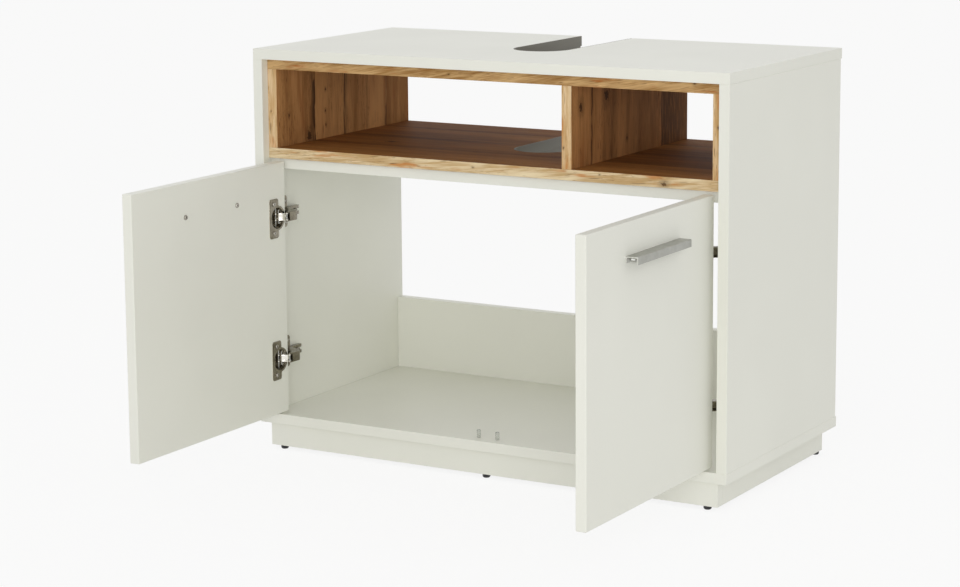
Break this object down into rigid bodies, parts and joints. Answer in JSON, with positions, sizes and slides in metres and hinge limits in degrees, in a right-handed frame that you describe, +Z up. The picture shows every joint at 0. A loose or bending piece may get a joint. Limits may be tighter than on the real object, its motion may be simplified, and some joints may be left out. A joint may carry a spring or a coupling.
{
  "type": "wash-basin base cabinet",
  "caption": "Free-standing wash-basin base cabinet with two doors on concealed hinges, an open wood-look compartment and a rear drain cut-out.",
  "frame": {"origin": "middle of the floor footprint with both doors open at 90 degrees, on the floor", "axes": "+X to the right seen from the front, +Y from the doors to the wall, +Z up"},
  "size_m": [0.8, 0.767, 0.627],
  "materials": {
    "white_board": "satin white melamine facing on chipboard",
    "oak_board": "matt wild-oak grain facing on chipboard",
    "grey_edging": "matt grey edging strip",
    "black_glide": "moulded black plastic",
    "beech_dowel": "turned and fluted beech",
    "clear_stop": "clear moulded plastic",
    "satin_aluminium": "satin anodised",
    "zinc_screw": "bright zinc plate",
    "steel_pin": "drawn steel",
    "polished_nickel": "polished nickel plate",
    "nickel_steel": "satin nickel plate on pressed steel"
  },
  "bodies": {
    "cabinet": {"back_rail": "white_board", "bottom_panel": "white_board", "carcass_dowels": "beech_dowel", "door_stops": "clear_stop", "floor_glides": "black_glide", "insert_bottom_board": "oak_board", "insert_bottom_edging": "grey_edging", "insert_divider": "oak_board", "insert_left_board": "oak_board", "insert_right_board": "oak_board", "insert_top_board": "oak_board", "insert_top_edging": "grey_edging", "left_adjusting_screws": "zinc_screw", "left_arm_pins": "steel_pin", "left_lower_hinge_arm": "nickel_steel", "left_lower_mounting_plate": "nickel_steel", "left_plate_screws": "zinc_screw", "left_side_panel": "white_board", "left_upper_hinge_arm": "nickel_steel", "left_upper_mounting_plate": "nickel_steel", "middle_shelf": "white_board", "middle_shelf_edging": "grey_edging", "plinth_back": "white_board", "plinth_front": "white_board", "plinth_left": "white_board", "plinth_right": "white_board", "right_adjusting_screws": "zinc_screw", "right_arm_pins": "steel_pin", "right_lower_hinge_arm": "nickel_steel", "right_lower_mounting_plate": "nickel_steel", "right_plate_screws": "zinc_screw", "right_side_panel": "white_board", "right_upper_hinge_arm": "nickel_steel", "right_upper_mounting_plate": "nickel_steel", "top_panel": "white_board", "top_panel_edging": "grey_edging"},
    "left_outer_links": {"left_lower_outer_link": "polished_nickel", "left_upper_outer_link": "polished_nickel"},
    "left_door": {"left_cup_pins": "steel_pin", "left_cup_screws": "zinc_screw", "left_door": "white_board", "left_handle": "satin_aluminium", "left_handle_screws": "zinc_screw", "left_lower_hinge_cup": "nickel_steel", "left_upper_hinge_cup": "nickel_steel"},
    "left_inner_links": {"left_lower_inner_link": "polished_nickel", "left_upper_inner_link": "polished_nickel"},
    "right_outer_links": {"right_lower_outer_link": "polished_nickel", "right_upper_outer_link": "polished_nickel"},
    "right_door": {"right_cup_pins": "steel_pin", "right_cup_screws": "zinc_screw", "right_door": "white_board", "right_handle": "satin_aluminium", "right_handle_screws": "zinc_screw", "right_lower_hinge_cup": "nickel_steel", "right_upper_hinge_cup": "nickel_steel"},
    "right_inner_links": {"right_lower_inner_link": "polished_nickel", "right_upper_inner_link": "polished_nickel"}
  },
  "joints": [
    {"name": "left_outer_link_swing", "type": "hinge", "parent": "cabinet", "child": "left_outer_links", "pos_m": [-0.34988, -0.0068, 0.147], "axis": [0, 0, 1], "range_deg": [-33.58, 1.88]},
    {"name": "left_door_swing", "type": "hinge", "parent": "left_outer_links", "child": "left_door", "pos_m": [-0.3634, -0.01775, 0.147], "axis": [0, 0, 1], "range_deg": [-6.86, 123.56]},
    {"name": "left_inner_link_swing", "type": "hinge", "parent": "left_door", "child": "left_inner_links", "pos_m": [-0.3611, -0.01275, 0.147], "axis": [0, 0, 1], "range_deg": [-118.29, 6.59]},
    {"name": "right_outer_link_swing", "type": "hinge", "parent": "cabinet", "child": "right_outer_links", "pos_m": [0.34988, -0.0068, 0.147], "axis": [0, 0, 1], "range_deg": [-1.88, 33.58]},
    {"name": "right_door_swing", "type": "hinge", "parent": "right_outer_links", "child": "right_door", "pos_m": [0.3634, -0.01775, 0.147], "axis": [0, 0, 1], "range_deg": [-123.56, 6.86]},
    {"name": "right_inner_link_swing", "type": "hinge", "parent": "right_door", "child": "right_inner_links", "pos_m": [0.3611, -0.01275, 0.147], "axis": [0, 0, 1], "range_deg": [-6.59, 118.29]}
  ],
  "couplings": [
    {"joint": "left_outer_link_swing", "follows": "left_door_swing", "ratio": -0.2716},
    {"joint": "left_inner_link_swing", "follows": "left_door_swing", "ratio": -0.95717},
    {"joint": "right_outer_link_swing", "follows": "right_door_swing", "ratio": -0.2716},
    {"joint": "right_inner_link_swing", "follows": "right_door_swing", "ratio": -0.95717}
  ]
}
